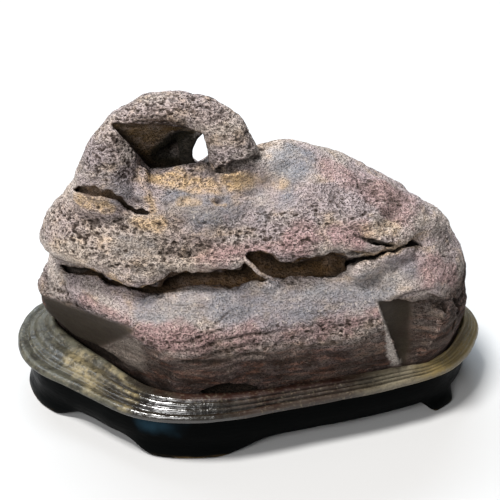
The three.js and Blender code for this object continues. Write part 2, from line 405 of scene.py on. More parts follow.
class Block:
    # a box of signed distances, in millimetres, negative inside the stone
    def __init__(self, source, shape):
        mesh = source.data
        mesh.calc_loop_triangles()
        triangles = np.empty(len(mesh.loop_triangles) * 3, np.int32)
        mesh.loop_triangles.foreach_get("vertices", triangles)
        points = meshPoints(mesh) / mm
        self.step = shape["step"]
        self.band = shape["band"]
        self.transform = openvdb.createLinearTransform(voxelSize=self.step)
        grid = openvdb.FloatGrid.createLevelSetFromPolygons(
            points,
            triangles=triangles.reshape(-1, 3).astype(np.uint32),
            transform=self.transform,
            halfWidth=self.band / self.step,
        )
        self.first = np.floor(points.min(0) / self.step).astype(int) - shape["margin"]
        last = np.ceil(points.max(0) / self.step).astype(int) + shape["margin"]
        self.field = np.zeros(tuple(last - self.first), np.float32)
        grid.copyToArray(self.field, ijk=tuple(int(i) for i in self.first))

    def axes(self):
        return [
            (self.first[i] + np.arange(self.field.shape[i], dtype=np.float32)) * self.step
            for i in range(3)
        ]

    def sample(self, points, field=None):
        # the field's value at any points, between the samples
        field = self.field if field is None else field
        place = [points[i] / self.step - self.first[i] for i in range(3)]
        cell = [
            np.clip(np.floor(p).astype(np.int32), 0, field.shape[i] - 2) for i, p in enumerate(place)
        ]
        part = [np.clip(p - c, 0, 1) for p, c in zip(place, cell)]
        total = 0
        for step, weight in cellCorners(part):
            total = total + weight * field[cell[0] + step[0], cell[1] + step[1], cell[2] + step[2]]
        return total

    def region(self, low, high):
        # the part of the block in a box: its slices and its coordinates
        slices = []
        for i in range(3):
            start = max(0, int(np.floor(low[i] / self.step)) - self.first[i])
            stop = min(self.field.shape[i], int(np.ceil(high[i] / self.step)) - self.first[i] + 1)
            slices.append(slice(start, stop))
        grid = np.meshgrid(*[a[s] for a, s in zip(self.axes(), slices)], indexing="ij")
        return tuple(slices), grid

    def cut(self, low, high, shape, radius):
        # takes away where shape(points) is below zero
        slices, points = self.region(low, high)
        self.field[slices] = softMax(self.field[slices], -shape(points), radius)

    def add(self, low, high, shape, radius):
        slices, points = self.region(low, high)
        self.field[slices] = -softMax(-self.field[slices], -shape(points), radius)

    def warp(self, shape):
        # moves the surface about, so that no edge stays straight
        near = np.nonzero(np.abs(self.field) < self.band - 1.5)
        axes = self.axes()
        self.field[near] = self.sample(wander([axes[i][near[i]] for i in range(3)], shape))

    def smooth(self, passes):
        for _ in range(passes):
            for axis in range(3):
                core = np.moveaxis(self.field, axis, 0)
                core[1:-1] = (core[:-2] + 2 * core[1:-1] + core[2:]) / 4

    def mesh(self):
        grid = openvdb.FloatGrid(float(self.field.max()))
        grid.transform = self.transform
        grid.copyFromArray(self.field, ijk=tuple(int(i) for i in self.first))
        grid.gridClass = openvdb.GridClass.LEVEL_SET
        points, quads = grid.convertToQuads(isovalue=0.0)
        return mainPart(points, quads[:, ::-1])

    def crowding(self, reach):
        # the share of solid within a box of +-reach samples round each sample
        solid = (self.field < 0).astype(np.float32)
        width = 2 * reach + 1
        for axis in range(3):
            total = np.cumsum(np.moveaxis(solid, axis, 0), axis=0)
            padded = np.pad(total, ((reach + 1, reach), (0, 0), (0, 0)), mode="edge")
            padded[: reach + 1] = 0
            solid = np.moveaxis((padded[width:] - padded[:-width]) / width, 0, axis)
        return solid


def wander(points, shape):
    # where each point of the weathered stone lay in the plain one; it stays put near the base and is
    # calmer in the arch and on the broken faces
    free = smoothstep(39, 52, points[2]) * (1 - 0.85 * calmness(points))
    free *= 1 - 0.6 * smoothstep(146, 158, points[2])
    moved = list(points)
    for size, reach, seed in shape["warp"]:
        for i in range(3):
            offset = valueNoise(points, size, seed + 40 * i, (1.3, 1.3, 0.8))
            moved[i] = moved[i] + free * reach * offset
    # the lips of the groove go up and down more
    height = points[2] - 0.07 * points[0]
    lips = smoothstep(88, 98, height) * smoothstep(128, 118, height) * smoothstep(118, 104, points[0])
    for size, reach, seed in shape["lips"]:
        moved[2] = moved[2] + lips * reach * valueNoise(points, size, seed)
    return moved


def plane(point, normal):
    # distance in front of a plane that goes through point, in millimetres
    normal = np.array(normal, float) / np.linalg.norm(normal)
    return lambda p: sum((p[i] - point[i]) * normal[i] for i in range(3))


def planes(sides):
    return [plane(*side) for side in sides.values()]


def rope(points, radii, flat=1.0):
    # a chain of straight lengths with a changing radius; flat squashes it in height
    def shape(p):
        best = None
        for a, b, ra, rb in zip(points, points[1:], radii, radii[1:]):
            along = [b[i] - a[i] for i in range(3)]
            length = sum(v * v for v in along)
            t = sum((p[i] - a[i]) * along[i] for i in range(3)) / length
            t = np.clip(t, 0, 1)
            away = [p[i] - a[i] - t * along[i] for i in range(3)]
            reach = np.sqrt(away[0] ** 2 + away[1] ** 2 + (away[2] / flat) ** 2) - (ra + t * (rb - ra))
            best = reach if best is None else np.minimum(best, reach)
        return best

    return shape


def thinRope(points):
    # distance from a line
    return rope(points, [0] * len(points))


def around(line, room):
    # the corners of a box round a line
    return np.min(line, axis=0) - room, np.max(line, axis=0) + room


def wedge(*sides, round=0.01):
    # the space behind every one of several planes, rounded where they meet
    def shape(p):
        total = sides[0](p)
        for side in sides[1:]:
            total = softMax(total, side(p), round)
        return total

    return shape


def ragged(shape, reach, size, seed):
    # a shape with its surface roughened, more so along the beds
    return lambda p: shape(p) + reach * layeredNoise(p, size, seed, 3, (1.7, 1.7, 0.7))


def coneTo(apex, corners):
    # the space inside a many-sided cone that narrows to its apex
    apex = np.array(apex, float)
    corners = np.array(corners, float)
    middle = corners.mean(0)
    sides = []
    for a, b in zip(corners, np.roll(corners, -1, axis=0)):
        normal = np.cross(a - apex, b - apex)
        if normal @ (middle - apex) > 0:
            normal = -normal
        sides.append(plane(apex, normal))
    return wedge(*sides)


def addLumps(block):
    for line, radii, blend in stone["lumps"]:
        block.add(*around(line, 18), ragged(rope(line, radii), 1.0, 8, 67), blend)


def cutPockets(block):
    for line, radii in stone["pockets"]:
        pocket = ragged(rope(line, radii, stone["pocketHeight"]), 1, 9, 63)
        block.cut(*around(line, 12), pocket, 1)


def cleftShape(points, lips):
    # how far outside a cleft's outline each point lies
    x, y, z = points
    eye = stone["eye"]
    share = (stone["cleftPlane"] - eye[1]) / (y - eye[1])
    across = eye[0] + (x - eye[0]) * share
    height = eye[2] + (z - eye[2]) * share
    place, top, bottom = np.array(lips, float).T
    above = height - np.interp(across, place, top)
    below = np.interp(across, place, bottom) - height
    return np.maximum(np.maximum(above, below), np.maximum(place[0] - across, across - place[-1]))


def cutClefts(block):
    spread = 1.15  # of the lines of sight behind the plane
    front, back = -75, 4
    for lips, depth in stone["clefts"].values():
        place, top, bottom = np.array(lips, float).T
        low = (min(place[0], place[0] * spread) - 3, front, bottom.min() - 14)
        high = (max(place[-1], place[-1] * spread) + 3, back, top.max() + 8)
        slices, points = block.region(low, high)
        shape = cleftShape(points, lips) + 0.9 * layeredNoise(points, 6, 63, 3, (1.4, 1.4, 0.8), 0.7)
        shape += 0.5 * valueNoise(points, 2.4, 69)
        shape = softMax(shape, -block.field[slices] - depth, 2)
        block.field[slices] = softMax(block.field[slices], -shape, 0.5)


def fill(block, line, radii, blend):
    block.add(*around(line, 14), rope(line, radii), blend)


def cutHole(block):
    mouth = stone["mouth"]
    fill(block, *mouth["sill"])
    point, normal = mouth["face"]
    face = plane(point, [-v for v in normal])
    opening = wedge(coneTo(stone["eye"], mouth["outline"]), ragged(face, 0.5, 9, 65))
    block.cut(*mouth["box"], opening, 1)
    line, radii, blend = mouth["cave"]
    block.cut(*around(line, 14), rope(line, radii), blend)
    fill(block, *mouth["plug"])
    block.cut(*mouth["slotBox"], coneTo(stone["eye"], mouth["slot"]), 1.5)
    fill(block, *mouth["sillEnd"])


def cutCracks(block):
    for line, radii, flat in stone["dimples"]:
        block.cut(*around(line, 8), ragged(rope(line, radii, flat), 1.2, 4, 66), 1)
    for line, radii, flat in stone["cracks"]:
        crack = ragged(rope(line, radii, flat), 1.6, 5, 61)
        block.cut(*around(line, max(radii) + 3), crack, 0.5)
    line, radii, flat = stone["bedEnd"]
    block.cut(*around(line, 16), ragged(rope(line, radii, flat), 1.5, 7, 62), 3)
    for line, radii in stone["gaps"]:
        block.cut(*around(line, max(radii) + 3), rope(line, radii), 2)


def cutFaces(block):
    block.cut(*stone["undercutBox"], wedge(*planes(stone["undercut"])), 1)
    face, side, top, bottom, edge = planes(stone["notch"])
    valley = wedge(face, side, round=stone["notchRound"])
    block.cut(*stone["notchBox"], wedge(valley, ragged(top, 1.5, 6, 64), bottom, edge), 0.3)


def onMouth(points, strength, far, near):
    # how much each point belongs to the slanting face inside the arch's mouth
    mouth = stone["mouth"]
    inside = smoothstep(1, -1, coneTo(stone["eye"], mouth["outline"])(points)) * (points[1] < 16)
    return strength * inside * smoothstep(far, near, np.abs(plane(*mouth["face"])(points)))


def calmness(points):
    # 1 on the smooth broken faces, 0 on weathered stone
    face, top, side = [part(points) for part in planes(stone["undercut"])]
    undercut = smoothstep(3, 1, np.abs(face)) * smoothstep(1, -1, top) * smoothstep(4, 0, side)
    face, side, top, _, edge = [part(points) for part in planes(stone["notch"])]
    notch = smoothstep(2.5, 1.5, np.abs(softMax(face, side, stone["notchRound"])))
    notch *= smoothstep(6, -4, side - face + 5 * valueNoise(points, 12, 255)) * smoothstep(1, -1, top)
    return np.clip(undercut + onMouth(points, 0.7, 3, 1) + notch * smoothstep(1, -0.3, edge), 0, 1)


def sculptStone(shape):
    block = Block(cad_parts["stone"], shape)
    block.smooth(shape["smoothing"])
    addLumps(block)
    cutPockets(block)
    cutClefts(block)
    cutHole(block)
    cutCracks(block)
    fill(block, *shape["strand"])
    cutFaces(block)
    block.warp(shape)
    print("stone cut")
    return block


def patch(points, lines, seed):
    # how strongly each point belongs to a set of stains, with a ragged edge
    edge = layeredNoise(points, 14, seed, 4)
    total = 0
    for line, width, strength in lines:
        away = thinRope(line)(points) / width + 0.55 * edge
        total = np.maximum(total, strength * smoothstep(1.35, 0.55, away))
    return total


def porosity(points):
    # the arch and the front of the upper bed are the most pitted, then the bulge of the lower bed
    x, y, z = points
    level = z - 0.05 * x
    upper = smoothstep(112, 118, level) * smoothstep(146, 134, level) * smoothstep(70, 30, x)
    pitted = 0.55 + 0.45 * smoothstep(150, 168, z) * smoothstep(20, 0, x)
    pitted = np.maximum(pitted, upper)
    pitted = np.maximum(pitted, 0.9 * smoothstep(60, 68, z) * smoothstep(86, 78, z))
    pitted *= 1 - 0.55 * patch(points, stone["grey"], 210)
    pitted *= 0.85 + 0.3 * valueNoise(points, 24, 212)
    return np.clip(pitted, 0, 1)


def stoneRelief(points):
    # how far each point of the mesh is pushed out, and how deep in a pit it lies, in millimetres
    p = points.T
    x, y, z = p
    relief = 0.5 * layeredNoise(p, 13, 101, 3, (1.5, 1.5, 0.8))
    middle = smoothstep(-64, -40, x) * smoothstep(124, 132, z) * smoothstep(160, 150, z)
    relief += middle * layeredNoise(p, 12, 102, 3, (2.0, 2.0, 0.7))
    nearest, _ = cellNoise(p, 10, 110, (1.4, 1.4, 0.9))
    relief += 0.8 * (0.55 - nearest) * (1 - 0.5 * smoothstep(146, 160, z))
    nearest, _ = cellNoise(p, 4.6, 111, (1.3, 1.3, 0.9))
    relief += 0.6 * (0.55 - nearest)
    # sparse fissures
    nearest, second = cellNoise(p, 16, 112, (2.4, 2.4, 0.7))
    split = smoothstep(0.07, 0.0, second - nearest) * smoothstep(0.3, 0.6, valueNoise(p, 13, 113))
    relief -= 0.8 * split
    # thin beds that weather into ledges, mostly low down
    level = z - 0.07 * x + 2.5 * layeredNoise(p, 30, 120, 3)
    turn = level / 5.5 + 0.5 * valueNoise(p, 18, 121)
    ledge = smoothstep(0.35, 0.0, np.abs((turn % 1) - 0.35))
    low = smoothstep(84, 74, z)
    relief -= (1.3 * low * smoothstep(42, 50, z) + 0.12) * ledge * (0.6 + 0.6 * valueNoise(p, 21, 122))
    relief += 0.45 * low * layeredNoise(p, 6, 123, 3, (2.2, 2.2, 0.6))
    # pits, longer along the beds
    pitted = porosity(p) * (1 - 0.7 * smoothstep(66, 56, z))
    depth = 0
    for size, seed, deep, rare in stone["pits"]:
        nearest, _ = cellNoise(p, size, seed, (1.5, 1.5, 0.8))
        chosen = smoothstep(-0.3, 0.3, valueNoise(p, size * 2.1, seed + 5) + pitted - rare)
        depth = depth + deep * chosen * smoothstep(0.45, 0.15, nearest)
    relief -= pitted * depth
    return relief, pitted * depth + 0.5 * split


def applyModifiers(piece):
    graph = bpy.context.evaluated_depsgraph_get()
    mesh = bpy.data.meshes.new_from_object(piece.evaluated_get(graph))
    piece.modifiers.clear()
    old = piece.data
    name = old.name
    piece.data = mesh
    bpy.data.meshes.remove(old)
    mesh.name = name


def markHollows(mesh, block, p, home):
    # how shut in each point is, for painted shade in hollows and crannies, and where it lies in a
    # groove or a crack
    x, y, z = p
    wide = block.sample(p, block.crowding(7))
    close = block.sample(p, block.crowding(3))
    # the shoulder beside the arch's right foot gets little painted shade
    unshaded = 1 - 0.85 * smoothstep(142, 147, z) * smoothstep(-22, -14, x) * smoothstep(-40, -30, y)
    storeValues(mesh, "hollowShade", smoothstep(0.56, 0.78, wide) * unshaded)
    storeValues(mesh, "crannyShade", smoothstep(0.53, 0.78, close) * unshaded)
    inCleft = {name: cleftShape(home, lips) for name, (lips, _) in stone["clefts"].items()}
    groove = 0
    for line, radii in stone["pockets"]:
        pocket = rope(line, radii, stone["pocketHeight"])(home)
        groove = np.maximum(groove, smoothstep(2, 0.5, pocket))
    for name, strength in (("groove", 1), ("leftLeg", 0.8)):
        groove = np.maximum(groove, strength * smoothstep(0.3, -0.7, inCleft[name]) * (y < -5))
    storeValues(mesh, "groove", groove * smoothstep(2.6, 3.4, thinRope(stone["strand"][0])(home)))
    # painted shade in cracks and clefts, and painted shadow in the gaps between the stone and the base
    crack = 0
    for line, radii, flat in stone["cracks"]:
        inside = smoothstep(1.6, 0.2, rope(line, radii, flat)(home))
        crack = np.maximum(crack, 0.7 * inside * smoothstep(0.5, 0.58, close))
    for name, strength in (("rightLow", 0.7), ("rightHigh", 0.7), ("leftLeg", 0.35)):
        crack = np.maximum(crack, strength * smoothstep(0.2, -0.6, inCleft[name]) * (y < 5))
    for line, radii in stone["gaps"]:
        crack = np.maximum(crack, smoothstep(1, 0, rope(line, radii)(p)))
    storeValues(mesh, "crack", crack)


def markFaces(mesh, p, home):
    # the smooth broken faces, which get painted shade, the chipped edge of the notch and the rougher
    # break beside the undercut
    x, y, z = p
    storeValues(mesh, "calm", calmness(p) * smoothstep(140, 130, z))
    edge = plane(*stone["notch"]["edge"])(p)
    width = 1.5 + 4.5 * smoothstep(80, 46, z) + 0.6 * valueNoise(p, 4, 253)
    chip = smoothstep(0, -0.8, edge - width) * smoothstep(-0.2, 0.4, edge) * smoothstep(92, 84, z)
    storeValues(mesh, "chip", chip * smoothstep(36, 40, z) * (x > 60) * (y < -30))
    side = plane(*stone["undercut"]["side"])(home)
    broken = smoothstep(0, 3, side) * smoothstep(-56, -66, x + 4 * valueNoise(p, 9, 254))
    storeValues(mesh, "broken", broken * smoothstep(74, 66, z) * smoothstep(37, 41, z) * (y < -20))


def markStains(mesh, p, home):
    x, y, z = p
    for kind, seed in (("ochre", 220), ("grey", 230), ("pink", 240)):
        storeValues(mesh, kind, patch(home, stone[kind], seed))
    storeValues(mesh, "porous", porosity(p))
    # the brown foot of the stone, darkened more as painted shade, and painted shade on what faces down
    under = smoothstep(83, 57, z + 4 * valueNoise(p, 20, 250))
    under = np.maximum(under, 0.85 * smoothstep(88, 80, z) * smoothstep(80, 92, x))
    facingDownShade = smoothstep(-0.35, -0.85, meshNormals(mesh)[:, 2])
    storeValues(mesh, "under", np.clip(under + facingDownShade, 0, 1))
    # painted shade inside the cave behind the mouth
    dark = smoothstep(3, 0, rope(*stone["dark"])(p) + valueNoise(p, 6, 251))
    storeValues(mesh, "cave", dark * smoothstep(-18, -8, y) * smoothstep(17, 11, y))
    storeValues(mesh, "mouth", onMouth(p, 1, 1.6, 0.6))


def makeStone(shape):
    block = sculptStone(shape)
    points, quads = block.mesh()
    piece = makeMesh("stoneSkin", points * mm, quads)
    mesh = piece.data
    relief, depth = stoneRelief(points)
    free = (1 - 0.85 * calmness(points.T)) * smoothstep(37, 44, points[:, 2])
    points = points + meshNormals(mesh) * (relief * free)[:, None]
    mesh.vertices.foreach_set("co", (points * mm).astype(np.float32).ravel())
    # how deep each point lies in a pit, for painted shade there
    storeValues(mesh, "pit", depth * free)
    mesh.update()
    thin = piece.modifiers.new("thin", "DECIMATE")
    thin.ratio = shape["triangles"] / (2 * len(quads))
    applyModifiers(piece)
    # what the material needs to know comes from where each point is, or where it was before the warp
    mesh = piece.data
    p = (meshPoints(mesh) / mm).T
    home = wander(list(p), shape)
    markHollows(mesh, block, p, home)
    markStains(mesh, p, home)
    markFaces(mesh, p, home)
    mesh.materials.append(stoneMaterial(tints(shape["colours"])))
    print("stone mesh", len(mesh.vertices), len(mesh.polygons))
    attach(piece, "root")
    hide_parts("stone")


# materials

class Shader:
    # a short way to write node trees
    def __init__(self, name):
        self.material = bpy.data.materials.new(name)
        self.material.use_nodes = True
        self.tree = self.material.node_tree
        self.surface = self.tree.nodes["Principled BSDF"]
        self.place = self.tree.nodes.new("ShaderNodeTexCoord").outputs["Object"]

    def node(self, kind, settings=None, **inputs):
        node = self.tree.nodes.new(kind)
        for key, value in (settings or {}).items():
            setattr(node, key, value)
        for key, value in inputs.items():
            self.feed(node.inputs[key], value)
        return node

    def feed(self, socket, value):
        if isinstance(value, bpy.types.NodeSocket):
            self.tree.links.new(value, socket)
        else:
            socket.default_value = value

    def value(self, name):
        return self.node("ShaderNodeAttribute", {"attribute_name": name}).outputs["Fac"]

    def stretched(self, scale):
        return self.node("ShaderNodeMapping", Vector=self.place, Scale=scale).outputs["Vector"]

    def noise(self, size, detail=3.0, place=None, roughness=0.6):
        node = self.node("ShaderNodeTexNoise", Vector=place or self.place, Scale=1 / (size * mm))
        node.inputs["Detail"].default_value = detail
        node.inputs["Roughness"].default_value = roughness
        return node.outputs["Fac"]

    def cells(self, size, place):
        node = self.node("ShaderNodeTexVoronoi", Vector=place, Scale=1 / (size * mm))
        return node.outputs["Distance"]

    def maths(self, kind, a, b):
        node = self.tree.nodes.new("ShaderNodeMath")
        node.operation = kind
        for socket, value in zip(node.inputs, (a, b)):
            self.feed(socket, value)
        return node.outputs[0]

    def times(self, a, b):
        return self.maths("MULTIPLY", a, b)

    def plus(self, a, b):
        return self.maths("ADD", a, b)

    def spread(self, value, low, high, start=0.0, end=1.0):
        node = self.tree.nodes.new("ShaderNodeMapRange")
        node.interpolation_type = "SMOOTHSTEP"
        for socket, part in zip(node.inputs, (value, low, high, start, end)):
            self.feed(socket, part)
        return node.outputs[0]

    def mix(self, share, a, b):
        node = self.tree.nodes.new("ShaderNodeMix")
        node.data_type = "RGBA"
        for key, value in ((0, share), (6, a), (7, b)):
            self.feed(node.inputs[key], value)
        return node.outputs[2]

    def cover(self, base, layers):
        # lays colours over the base, each where a stored value says: its name, the colour and the share
        for name, tint, share in layers:
            base = self.mix(self.times(self.value(name), share), base, tint)
        return base

    def bump(self, height, depth, below=None):
        # height between 0 and 1, depth in millimetres
        node = self.node("ShaderNodeBump", Height=height, Distance=depth * mm)
        if below is not None:
            self.feed(node.inputs["Normal"], below)
        return node.outputs["Normal"]

    def finish(self, base, roughness, specular, normal):
        names = ("Base Color", "Roughness", "Specular IOR Level", "Normal")
        for name, value in zip(names, (base, roughness, specular, normal)):
            self.feed(self.surface.inputs[name], value)
        return self.material


def colour(red, green, blue):
    # a colour as it is seen on a screen, from 0 to 255, as the light it sends back
    part = [v / 255 for v in (red, green, blue)]
    return tuple(v / 12.92 if v < 0.04045 else ((v + 0.055) / 1.055) ** 2.4 for v in part) + (1,)


def tints(colours):
    return {name: colour(*value) for name, value in colours.items()}


def stoneMaterial(tint):
    s = Shader("weatheredStone")
    beds = s.stretched((0.7, 0.7, 1.35))
    broad = s.noise(34, 4, beds)
    blotch = s.noise(11, 4, beds)
    grain = s.noise(1.5, 3, beds, 0.7)
    grit = s.noise(0.8, 2, None, 0.7)
    crumbs = s.noise(1.9, 3, None, 0.65)
    layers = s.noise(7, 5, s.stretched((0.45, 0.45, 1.8)), 0.7)
    lines = s.noise(9, 5, s.stretched((0.35, 0.35, 2.2)), 0.72)
    # the brown foot with its strata, darker as painted shade, also on faces turned down
    under = s.mix(s.spread(layers, 0.46, 0.66), tint["under"], tint["strata"])
    under = s.mix(s.spread(layers, 0.42, 0.3, 0.0, 0.8), under, tint["pit"])
    # painted shade on the smooth broken faces, darker along some layers
    calmShade = s.mix(s.spread(layers, 0.35, 0.65), tint["calm"], tint["calmDark"])
    base = s.mix(s.spread(broad, 0.38, 0.62), tint["body"], tint["mauve"])
    base = s.mix(s.times(s.spread(blotch, 0.5, 0.72), 0.6), base, tint["warm"])
    base = s.cover(base, [
        ("grey", tint["grey"], s.spread(blotch, 0.3, 0.6, 1.0, 0.65)),
        ("pink", tint["pink"], s.spread(blotch, 0.3, 0.6, 0.7, 1.0)),
        ("under", under, s.spread(blotch, 0.3, 0.7, 1.0, 0.8)),
        ("broken", tint["broken"], s.spread(blotch, 0.3, 0.7, 0.95, 0.6)),
        ("ochre", tint["ochre"], s.spread(s.noise(5, 4), 0.34, 0.56, 0.5, 1.0)),
        ("calm", calmShade, 0.95),
        ("porous", tint["pit"], s.spread(lines, 0.41, 0.34, 0.0, 0.5)),
    ])
    # pale crystals, and painted shade in the pores and pits
    rough = s.maths("SUBTRACT", 1.0, s.value("calm"))
    pale = s.times(s.spread(crumbs, 0.54, 0.74), s.spread(s.value("under"), 0.0, 1.0, 0.42, 0.12))
    base = s.mix(s.times(pale, rough), base, tint["pale"])
    pore = s.spread(s.cells(2.4, beds), 0.46, 0.2)
    pore = s.times(pore, s.spread(s.noise(3.5, 3, beds), 0.32, 0.52))
    pore = s.maths("MAXIMUM", pore, s.spread(s.cells(1.5, beds), 0.32, 0.12))
    pore = s.maths("MAXIMUM", pore, s.spread(grit, 0.46, 0.32))
    pore = s.times(pore, s.times(rough, s.spread(s.value("porous"), 0.1, 0.9, 0.3, 1.0)))
    base = s.mix(s.times(pore, 0.72), base, tint["pit"])
    base = s.mix(s.spread(s.value("pit"), 0.12, 0.9, 0.0, 0.85), base, tint["pit"])
    # painted shade in crannies, hollows, cracks and the cave behind the mouth; the chipped edge, the
    # mouth's face and the groove keep their own colours
    base = s.cover(base, [
        ("crannyShade", tint["pit"], 0.75),
        ("chip", tint["chip"], 0.8),
        ("mouth", tint["mouth"], s.spread(blotch, 0.3, 0.6, 0.6, 0.95)),
        ("groove", tint["groove"], s.spread(blotch, 0.3, 0.65, 0.7, 1.0)),
        ("hollowShade", tint["deep"], 0.75),
        ("crack", tint["deep"], 0.9),
        ("cave", tint["cave"], s.spread(blotch, 0.3, 0.6, 1.0, 0.92)),
    ])
    height = s.plus(s.times(grain, 0.45), s.times(s.noise(4, 4, beds, 0.65), 1.2))
    height = s.plus(height, s.times(pore, -0.8))
    height = s.times(height, s.spread(s.value("calm"), 0.0, 1.0, 1.0, 0.15))
    height = s.times(height, s.spread(s.value("porous"), 0.2, 0.8, 0.6, 1.0))
    normal = s.bump(grit, 0.25, s.bump(height, 2.8))
    return s.finish(base, s.spread(grain, 0.3, 0.7, 0.82, 0.98), 0.25, normal)


# the carved base: rings between the recess's outline and the rim's, joined down the skirt to the feet

stand = {
    "columns": 640,
    "rings": (8, 76, 42),  # up the recess, across the rim, and down the skirt and under it
    "rim": [
        (150, 26), (142, -10), (121, -37), (82, -56), (30, -73), (-25, -88), (-64, -84), (-104, -57),
        (-139, -28), (-151, 10), (-138, 50), (-92, 80), (-20, 90), (60, 90), (122, 72),
    ],
    "recess": [
        (140, 28), (131, -7), (112, -33), (78, -44), (31, -58), (-20, -68), (-54, -64), (-92, -29),
        (-118, 0), (-129, 20), (-118, 46), (-82, 66), (-16, 76), (56, 76), (109, 61),
    ],
    "rimTop": 38,
    "seatFloor": 24,
    "underside": 12,
    "footLift": 6.5,  # height of the skirt's edge between the feet
    "astray": 0.02,  # how far the carved lines wander, as a share of the rim
    # place round the rim, half-width, length of the curve beside it, and how far it curves out
    # at the bottom
    "feet": [
        (1.82, 0.2, 0.3, 6), (5.35, 0.45, 0.7, 3.5), (8.1, 0.5, 0.5, 4), (11.1, 0.5, 0.5, 4),
        (13.6, 0.4, 0.4, 4),
    ],
    # heights across the rim, from the recess at 0 to the outer edge at 1
    "section": [
        (0.0, -1.5), (0.03, -0.6), (0.08, -0.35), (0.14, -0.45), (0.2, -0.6), (0.26, -0.9),
        (0.31, -1.25), (0.34, -2.1), (0.36, -3.0), (0.385, -2.2), (0.43, -1.7), (0.48, -2.0),
        (0.52, -3.0), (0.545, -4.3), (0.57, -3.7), (0.61, -3.2), (0.66, -3.5), (0.7, -4.4),
        (0.725, -5.6), (0.75, -4.9), (0.8, -4.1), (0.87, -3.9), (0.93, -4.2), (0.965, -5.0),
        (0.99, -6.1), (1.0, -6.8),
    ],
    # the same at the far right, where the carving has almost run out
    "plain": [
        (0.0, -1.6), (0.05, -0.5), (0.14, -0.4), (0.2, -1.2), (0.3, -1.5), (0.5, -2.2), (0.7, -3.2),
        (0.85, -4.2), (0.94, -5.2), (1.0, -6.8),
    ],
    # the same where the rim is wide, at the left: three broad terraces
    "terraces": [
        (0.0, -1.4), (0.05, -0.4), (0.12, -0.4), (0.2, -1.2), (0.26, -2.5), (0.34, -2.8), (0.44, -2.8),
        (0.5, -3.4), (0.55, -4.5), (0.6, -4.8), (0.68, -5.0), (0.72, -6.0), (0.76, -5.6), (0.83, -4.8),
        (0.9, -4.3), (0.95, -4.6), (0.985, -5.8), (1.0, -6.8),
    ],
    # inset from the rim, height, and how much of the lift between the feet it takes
    "skirt": [
        (0.1, 30.4, 0), (0.9, 29.4, 0), (2.5, 28.6, 0), (5.6, 28.1, 0), (8.2, 27.2, 0), (9.0, 26, 0),
        (8.6, 23, 0), (7.6, 19, 0), (7, 15, 0), (7.1, 11, 0.1), (7.6, 7.5, 0.3), (8, 4, 0.55),
        (8.4, 1.6, 0.9), (9.2, 0.4, 1), (10.4, 0, 1), (19.4, 0, 1), (20.4, 1, 0.9), (21.4, 5, 0.5),
        (23, 11, 0),
    ],
    # a smooth line over the ridges of the first
    "ridges": [(0, -1), (0.1, -0.3), (0.3, -1.0), (0.43, -1.5), (0.61, -3.0), (0.87, -3.7), (1, -6)],
    # a line through the pale stain on the rim and its half-widths, then one through the skirt's painted
    # sheen
    "stain": ([(-112, -26, 34), (-100, -42, 33), (-86, -58, 32), (-72, -70, 32)], [0, 3, 6, 4]),
    "sheen": [(-66, -80, 24), (-40, -86, 21)],
    "skirtFrom": 2.06,  # where the black lacquer begins, by the numbers of the rings
    "colours": {
        "lacquer": (36, 33, 26),
        "shade": (16, 12, 9),
        "gloss": (18, 12, 10),
        "dust": (70, 68, 55),
        # pale specks, and painted highlight specks where rubbed
        "speckAndGlint": (122, 112, 92),
        "olive": (112, 95, 52),
        "ochre": (160, 144, 106),
        "brown": (40, 19, 11),
        "skirt": (2, 3, 3),
        # painted sheen on the skirt
        "tealSheen": (30, 52, 64),
        "worn": (112, 92, 62),
    },
}


def closedCurve(points, count):
    # a smooth closed curve through the points, and its outward direction
    points = np.array(points, float)
    size = len(points)
    turn = np.arange(count) / count * size
    first = np.floor(turn).astype(int)
    t = (turn - first)[:, None]
    p = [points[(first + k) % size] for k in (-1, 0, 1, 2)]
    gap = [np.sqrt(np.linalg.norm(b - a, axis=1))[:, None] for a, b in zip(p, p[1:])]
    start = (p[1] - p[0]) / gap[0] - (p[2] - p[0]) / (gap[0] + gap[1]) + (p[2] - p[1]) / gap[1]
    end = (p[2] - p[1]) / gap[1] - (p[3] - p[1]) / (gap[1] + gap[2]) + (p[3] - p[2]) / gap[2]
    start, end = start * gap[1], end * gap[1]
    square = -3 * p[1] + 3 * p[2] - 2 * start - end
    cube = 2 * p[1] - 2 * p[2] + start + end
    curve = p[1] + start * t + square * t**2 + cube * t**3
    along = start + 2 * square * t + 3 * cube * t**2
    along /= np.linalg.norm(along, axis=1)[:, None]
    return curve, np.stack([-along[:, 1], along[:, 0]], axis=1)


def rounded(pairs, places):
    # heights of a smooth curve through (place, height) pairs
    x, y = np.array(pairs, float).T
    slope = np.gradient(y, x)
    k = np.clip(np.searchsorted(x, places, side="right") - 1, 0, len(x) - 2)
    wide = x[k + 1] - x[k]
    t = (places - x[k]) / wide
    return (
        y[k] * (2 * t**3 - 3 * t**2 + 1) + y[k + 1] * (3 * t**2 - 2 * t**3)
        + slope[k] * wide * (t**3 - 2 * t**2 + t) + slope[k + 1] * wide * (t**3 - t**2)
    )


